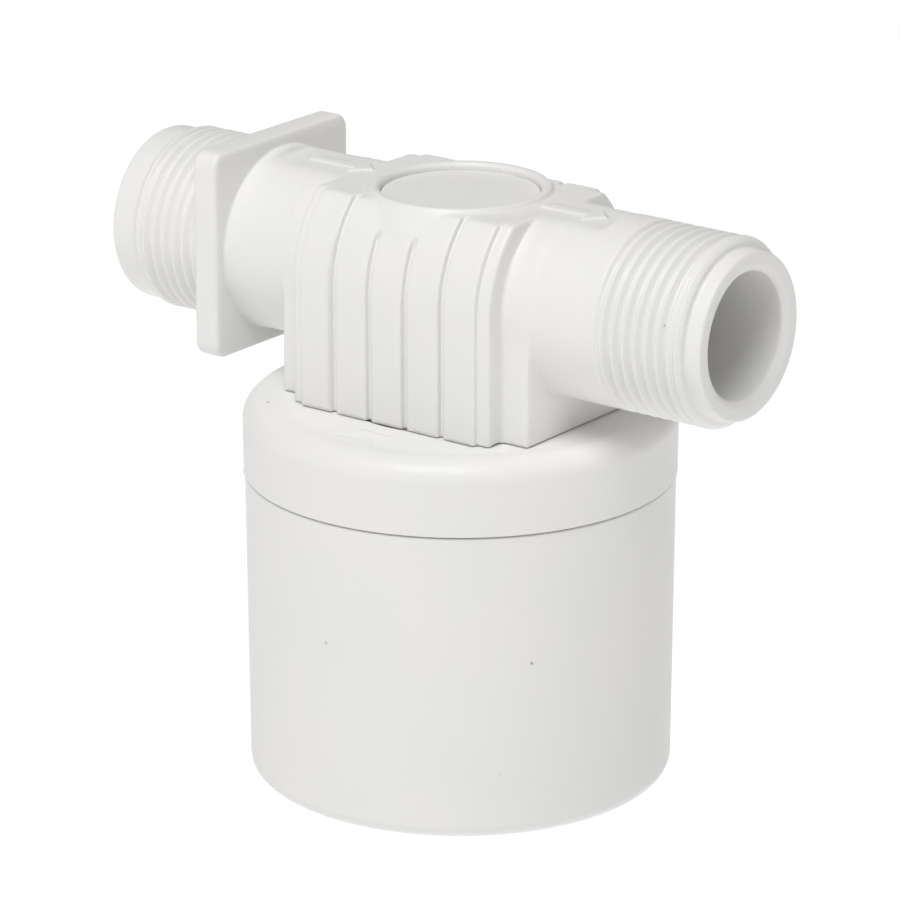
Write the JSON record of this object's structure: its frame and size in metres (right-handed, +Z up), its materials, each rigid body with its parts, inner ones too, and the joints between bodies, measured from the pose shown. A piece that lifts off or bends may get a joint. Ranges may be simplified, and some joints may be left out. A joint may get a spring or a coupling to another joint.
{
  "type": "float valve",
  "caption": "Plastic in-line float valve with male pipe threads at both ends, a ribbed body and a sliding drum float that works a pilot-operated piston.",
  "frame": {"origin": "centre of the float's flat base, with the float at the top of its travel", "axes": "+Z up along the float's axis, +X along the pipe in the direction of flow, from inlet to outlet"},
  "size_m": [0.1013, 0.061, 0.0875],
  "materials": {
    "white_plastic": "satin moulded white plastic",
    "grey_plastic": "satin natural grey plastic",
    "rubber": "dull black rubber",
    "steel": "fine turned stainless steel",
    "brass": "turned brass"
  },
  "bodies": {
    "valve": {"valve_body": "white_plastic", "top_cover": "white_plastic", "top_cover_seal": "rubber", "inlet_strainer": "grey_plastic", "pilot_cover": "white_plastic", "pilot_cover_gasket": "rubber", "pilot_nozzle": "brass", "float_retaining_ring": "grey_plastic", "lever_pin": "steel", "cover_screw_1": "steel", "cover_screw_2": "steel", "cover_screw_3": "steel", "cover_screw_4": "steel"},
    "float": {"float_lid": "white_plastic", "float_well": "white_plastic", "float_cup": "white_plastic", "float_joint_seal": "rubber", "link_pin": "steel"},
    "lever": {"pilot_lever": "grey_plastic", "pilot_seal": "rubber"},
    "piston": {"main_piston": "grey_plastic", "piston_cup_seal": "rubber", "seat_washer": "rubber", "washer_retainer": "grey_plastic", "main_spring": "steel"}
  },
  "joints": [
    {"name": "float_travel", "type": "slide", "parent": "valve", "child": "float", "axis": [0, 0, -1], "range_m": [0, 0.005]},
    {"name": "lever_pivot", "type": "hinge", "parent": "valve", "child": "lever", "pos_m": [-0.008, 0, 0.0355], "axis": [0, 1, 0], "range_deg": [0, 17.6]},
    {"name": "piston_travel", "type": "slide", "parent": "valve", "child": "piston", "axis": [0, 0, -1], "range_m": [0, 0.004], "stiffness_N_per_m": 300, "springref_m": -0.004, "deforming": ["main_spring"]}
  ],
  "couplings": [
    {"joint": "lever_pivot", "follows": "float_travel", "rad_per_m": 60.576}
  ]
}
